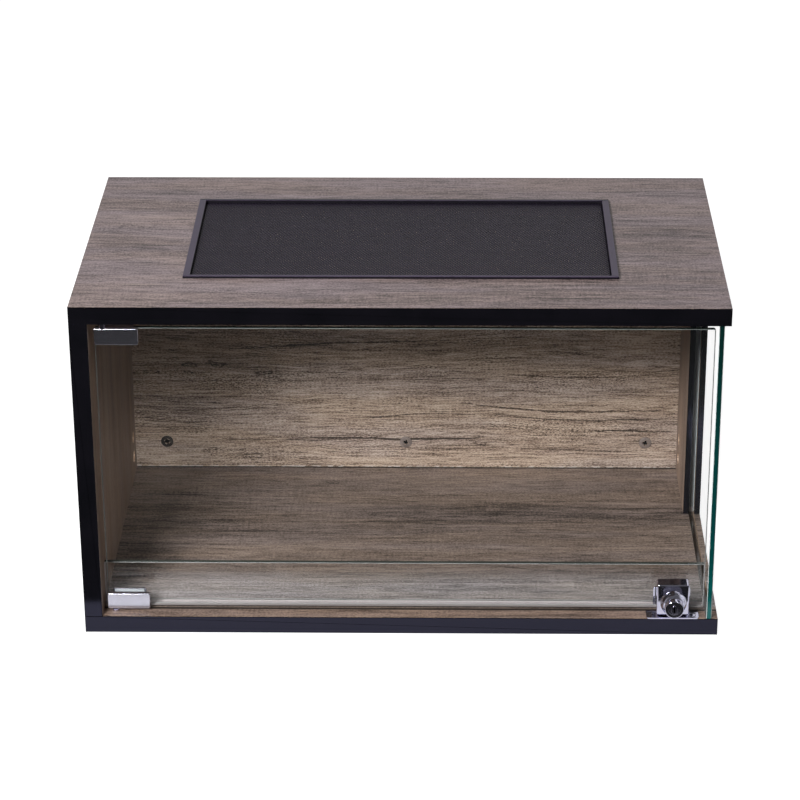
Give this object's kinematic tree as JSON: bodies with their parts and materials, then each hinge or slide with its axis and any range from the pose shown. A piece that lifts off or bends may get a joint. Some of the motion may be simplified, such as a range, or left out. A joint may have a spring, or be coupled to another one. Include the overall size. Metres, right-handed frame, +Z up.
{
  "type": "reptile breeding box",
  "caption": "Board cabinet with a glass side pane, a pivoting glass front door with cam lock, a low glass dam and a lift-out mesh vent in the top.",
  "frame": {"origin": "centre of the cabinet's underside", "axes": "+X to the right along the width, +Y to the back, +Z up; the door faces -Y"},
  "size_m": [0.6, 0.3568, 0.3376],
  "materials": {
    "outer_laminate": "low-gloss melamine laminate, grey-brown oak decor with grain from left to right",
    "inner_laminate": "low-gloss melamine laminate, weathered oak decor",
    "edge_band": "black plastic edge banding",
    "glass": "clear float glass with green polished edges",
    "sealant": "translucent sealant",
    "beech": "turned beech",
    "screw_steel": "dull plated steel",
    "chrome": "polished chrome plate",
    "satin_chrome": "satin chrome plate",
    "pin_steel": "bright steel",
    "plug_metal": "nickel plated",
    "nylon": "natural nylon",
    "pad_rubber": "black rubber sheet",
    "screen_frame": "black satin paint",
    "mesh_wire": "black coated steel wire"
  },
  "bodies": {
    "cabinet": {"top_panel": "outer_laminate", "floor_panel": "inner_laminate", "left_panel": "inner_laminate", "right_rear_panel": "inner_laminate", "back_panel": "inner_laminate", "top_band": "edge_band", "floor_band": "edge_band", "left_band": "edge_band", "right_rear_band": "edge_band", "side_pane": "glass", "dam_pane": "glass", "dam_seal": "sealant", "corner_dowels": "beech", "back_screws": "screw_steel", "lower_bush": "chrome", "upper_bush": "chrome", "strike_plate": "chrome", "strike_screws": "chrome"},
    "door": {"door_pane": "glass", "lower_clamp": "satin_chrome", "upper_clamp": "satin_chrome", "lower_pin": "pin_steel", "upper_pin": "pin_steel", "clamp_screws": "screw_steel", "clamp_pads": "nylon", "lock_housing": "chrome", "lock_pads": "pad_rubber", "lock_screws": "screw_steel"},
    "plug": {"lock_plug": "plug_metal", "lock_cam": "pin_steel", "lock_cam_screw": "screw_steel"},
    "bolt": {"lock_bolt": "pin_steel"},
    "screen": {"screen_front_rail": "screen_frame", "screen_rear_rail": "screen_frame", "screen_left_rail": "screen_frame", "screen_right_rail": "screen_frame", "screen_mesh": "mesh_wire"}
  },
  "joints": [
    {"name": "door_hinge", "type": "hinge", "parent": "cabinet", "child": "door", "pos_m": [-0.2713, -0.15685, 0.1], "axis": [0, 0, -1], "range_deg": [0, 110]},
    {"name": "plug_turn", "type": "hinge", "parent": "door", "child": "plug", "pos_m": [0.2572, -0.17, 0.0355], "axis": [0, 1, 0], "range_deg": [0, 90]},
    {"name": "bolt_slide", "type": "slide", "parent": "door", "child": "bolt", "axis": [0, 0, -1], "range_m": [0, 0.00594]},
    {"name": "screen_lift", "type": "slide", "parent": "cabinet", "child": "screen", "axis": [0, 0, 1], "range_m": [0, 0.012]}
  ],
  "couplings": [
    {"joint": "bolt_slide", "follows": "plug_turn", "m_per_rad": 0.00378}
  ]
}
